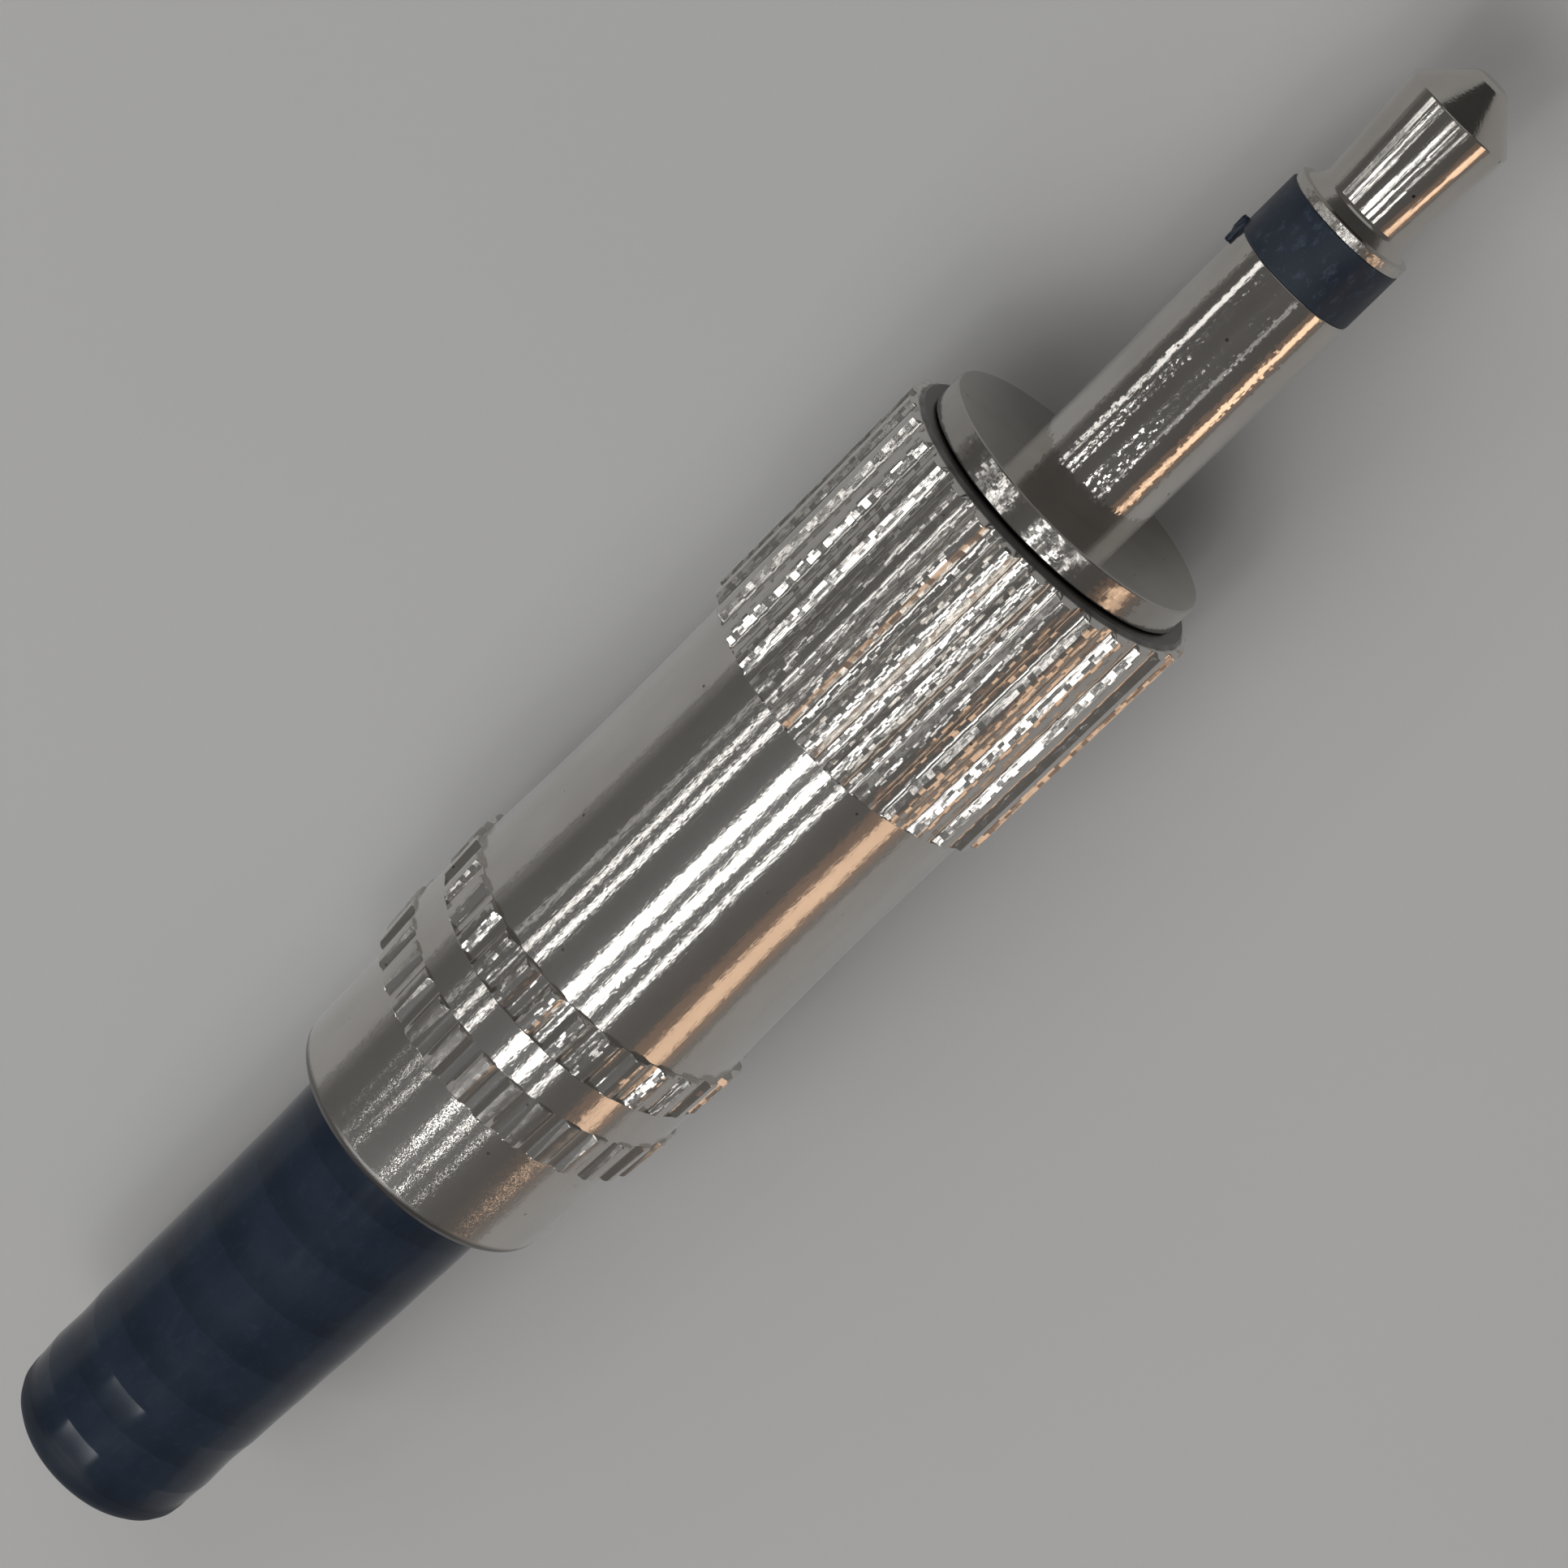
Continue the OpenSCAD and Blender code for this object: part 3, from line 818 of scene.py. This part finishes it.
def dress_inner_nodes():
    """Gives the pieces inside the shell their finish"""
    tinned = plain_grain(
        "tinned_brass",
        dark=(0.62, 0.58, 0.5),
        light=(0.74, 0.71, 0.64),
        metallic=1.0,
        rough=(0.25, 0.4),
        size=(0.8, 0.3),
    )
    fibre = plain_grain(
        "fibre",
        dark=(0.15, 0.06, 0.03),
        light=(0.22, 0.1, 0.05),
        metallic=0.0,
        rough=(0.6, 0.8),
        size=(0.2, 0.4),
    )
    film = plain_grain(
        "milky_film",
        dark=(0.68, 0.7, 0.67),
        light=(0.76, 0.77, 0.74),
        metallic=0.0,
        rough=(0.35, 0.5),
        size=(1.2, 0.8),
    )
    inner = {"rear_washer": fibre, "tip_tag": tinned, "sleeve_tag": tinned, "liner": film}
    for node, material in inner.items():
        slots = frame["nodes"][node].data.materials
        slots.clear()
        slots.append(material)


def make_pieces():
    """Models every piece that shows and gives the inner nodes their finish"""
    ring_black = moulded_black(
        "insulator_black",
        dark=(0.012, 0.0185, 0.031),
        light=(0.02, 0.0275, 0.04),
        rough=(0.4, 0.55),
        scuff_depth=0.004,
        wear=2.6,
        gloss=0.4,
    )
    boot_black = moulded_black(
        "boot_black",
        dark=(0.0145, 0.022, 0.037),
        light=(0.0175, 0.0265, 0.043),
        rough=(0.15, 0.2),
        scuff_depth=0.0003,
        wear=1.3,
        gloss=0.24,
        groove_shade=0.2,
    )
    hand_over(make_tip(), "tip_contact", tip_nickel())
    hand_over(make_insulator(), "front_insulator", ring_black)
    hand_over(make_sleeve(), "sleeve", shank_nickel())
    hand_over(make_shell(), "shell", handle_nickel())
    hand_over(make_boot(), "boot", boot_black)
    dress_inner_nodes()


# Camera, light and floor

PHOTO_PX = 1932
FOCAL_PX = 5098.7
SENSOR = 36.0
camera_lean = radians(4)
camera_tilt = radians(20.475)
camera_roll = radians(44.465)
camera_place = Vector((26.24, 0, 100.085)) * MM
centre_px = (960.75, 965.5)

# Strip lamps over the plug: where they start behind it, and where they end for the handle and the pin
LAMP_HEIGHT = 0.4
lamp_rear = -0.2195
lamp_front = -0.1
broad_lamp_front = -0.11
pin_lamp_front = -0.04
tip_lamp_rear = -0.122
WHITE = (1, 1, 1)
WARM = (1, 0.7, 0.48)
AMBER = (1, 0.5, 0.24)

# Each strip's streak angle and width in degrees, its rear and front end, its radiance and colour
STRIPS = {
    "far_faint_lamp": (-26.0, 2.6, lamp_rear, lamp_front, 0.55, WHITE),
    "far_thin_lamp": (-20.0, 2.3, lamp_rear, lamp_front, 2.9, WHITE),
    "far_lamp": (-14.5, 2.4, lamp_rear, lamp_front, 3.8, WHITE),
    "middle_lamp": (0.9, 6.3, lamp_rear, broad_lamp_front, 6.2, WHITE),
    "near_lamp": (8.6, 4.6, lamp_rear, broad_lamp_front, 6.2, WHITE),
    "near_thin_lamp": (15.8, 2.6, lamp_rear, lamp_front, 3.6, WHITE),
    "warm_lamp": (38, 13, lamp_rear, lamp_front, 1.0, WARM),
    "amber_lamp": (37, 30, lamp_rear, pin_lamp_front, 0.14, AMBER),
    "pin_warm_lamp": (37.8, 11, lamp_front, pin_lamp_front, 1.8, WARM),
    "pin_near_lamp": (15.3, 6, lamp_front, pin_lamp_front, 0.4, WHITE),
    "tip_far_lamp": (-19.5, 6, tip_lamp_rear, lamp_front, 2.5, WHITE),
    "pin_far_lamp": (-28, 9, lamp_front, pin_lamp_front, 1.5, WHITE),
}

# Each panel's tilt and turn in degrees, its distance, length and width, and its radiance
PANELS = {
    "boot_lamp": (-50.5, -21, 0.4, 0.016, 0.25, 16.0),
    "front_panel": (45, 0, 0.5, 0.3, 0.6, 0.3),
    "soft_box": (-30, 0, 0.8, 0.7, 0.7, 2.25),
    "fill_panel": (40, -50, 0.5, 0.4, 0.4, 0.9),
}
UNSEEN_IN_METAL = ("soft_box", "fill_panel")

# The room's light, at the plug's two ends, and what the walls beside it add up to a height
ROOM_COLOUR = (1, 0.97, 0.94, 1)
ROOM_LIGHT = 0.12
END_LIGHT = 0.05
END_SPREAD = (0.6, 0.95)
WALL_LIGHT = 0.12
WALL_SPREAD = (0.4, 0.8)
WALL_HEIGHT = 0.16
FLOOR_SIZE = 4


def make_camera():
    """Stands the camera above the tip, looking down the plug as the photograph does"""
    data = bpy.data.cameras.new("camera")
    data.sensor_width = SENSOR
    data.lens = FOCAL_PX * SENSOR / PHOTO_PX
    data.shift_x = (PHOTO_PX / 2 - centre_px[0]) / PHOTO_PX
    data.shift_y = (centre_px[1] - PHOTO_PX / 2) / PHOTO_PX
    data.clip_start = MM
    camera = bpy.data.objects.new("camera", data)
    bpy.context.scene.collection.objects.link(camera)
    camera.matrix_world = (
        Matrix.Rotation(-camera_lean, 4, "X")
        @ Matrix.Translation(camera_place)
        @ Matrix.Rotation(camera_tilt, 4, "Y")
        @ Matrix.Rotation(-camera_roll, 4, "Z")
    )
    bpy.context.scene.camera = camera


def make_lamp(name, place, length, width, radiance, colour):
    """A rectangular lamp of one radiance, facing down its own axis"""
    data = bpy.data.lights.new(name, "AREA")
    data.shape = "RECTANGLE"
    data.size = length
    data.size_y = width
    data.color = colour
    data.energy = radiance * pi * length * width
    lamp = bpy.data.objects.new(name, data)
    bpy.context.scene.collection.objects.link(lamp)
    lamp.matrix_world = place
    lamp.visible_glossy = name not in UNSEEN_IN_METAL


def strip_lamp(name, streak_deg, width_deg, rear_x, front_x, radiance, colour):
    """A lamp along the plug whose streak shows at an angle from the camera's side"""
    angle = 2 * radians(streak_deg) - camera_lean
    middle = Matrix.Translation(((rear_x + front_x) / 2, 0, LAMP_HEIGHT))
    width = 2 * LAMP_HEIGHT * tan(radians(width_deg / 2))
    make_lamp(name, Matrix.Rotation(angle, 4, "X") @ middle, front_x - rear_x, width, radiance, colour)


def panel_lamp(name, tilt_deg, turn_deg, distance, length, width, radiance):
    """A panel that faces the plug, tilted along its axis and turned about it"""
    place = (
        Matrix.Rotation(radians(turn_deg), 4, "X")
        @ Matrix.Rotation(radians(tilt_deg), 4, "Y")
        @ Matrix.Translation((0, 0, distance))
    )
    make_lamp(name, place, length, width, radiance, WHITE)


def make_lamps():
    """Strip lamps for the streaks along the metal, and soft panels for the rest"""
    for name, values in STRIPS.items():
        strip_lamp(name, *values)
    for name, values in PANELS.items():
        panel_lamp(name, *values)


def make_world():
    """A dim room, lighter at the walls beside the plug and darker at its two ends"""
    world = bpy.data.worlds.new("studio")
    world.use_nodes = True
    nodes = world.node_tree.nodes
    links = world.node_tree.links

    def spread(value, low, high, to_low, to_high):
        node = nodes.new("ShaderNodeMapRange")
        for socket, setting in zip(node.inputs[1:5], (low, high, to_low, to_high)):
            socket.default_value = setting
        links.new(value, node.inputs["Value"])
        return node.outputs["Result"]

    def combine(operation, *values):
        node = nodes.new("ShaderNodeMath")
        node.operation = operation
        for socket, value in zip(node.inputs, values):
            links.new(value, socket)
        return node.outputs["Value"]

    direction = nodes.new("ShaderNodeSeparateXYZ")
    links.new(nodes.new("ShaderNodeTexCoord").outputs["Generated"], direction.inputs["Vector"])
    sideways = combine("ABSOLUTE", direction.outputs["Y"])
    lengthways = combine("ABSOLUTE", direction.outputs["X"])
    low = spread(direction.outputs["Z"], 0.0, WALL_HEIGHT, 1.0, 0.0)
    wall = combine("MULTIPLY", low, spread(sideways, *WALL_SPREAD, 0.0, WALL_LIGHT))
    room = spread(lengthways, *END_SPREAD, ROOM_LIGHT, END_LIGHT)
    links.new(combine("ADD", room, wall), nodes["Background"].inputs["Strength"])
    nodes["Background"].inputs["Color"].default_value = ROOM_COLOUR
    bpy.context.scene.world = world


def make_floor():
    """A plain pale floor under the plug"""
    bpy.ops.object.select_all(action="DESELECT")
    bpy.ops.mesh.primitive_plane_add(size=FLOOR_SIZE, location=(0, 0, floor_z))
    floor = bpy.context.object
    floor.name = "floor"
    paper = Finish("pale_paper")
    colour = paper.mix(paper.noise(30, 30), PAPER_DARK, PAPER_LIGHT)
    floor.data.materials.append(paper.surface(Base_Color=colour, Roughness=0.9))


make_camera()
make_pieces()
make_lamps()
make_world()
make_floor()
bpy.context.scene.view_settings.view_transform = "Standard"
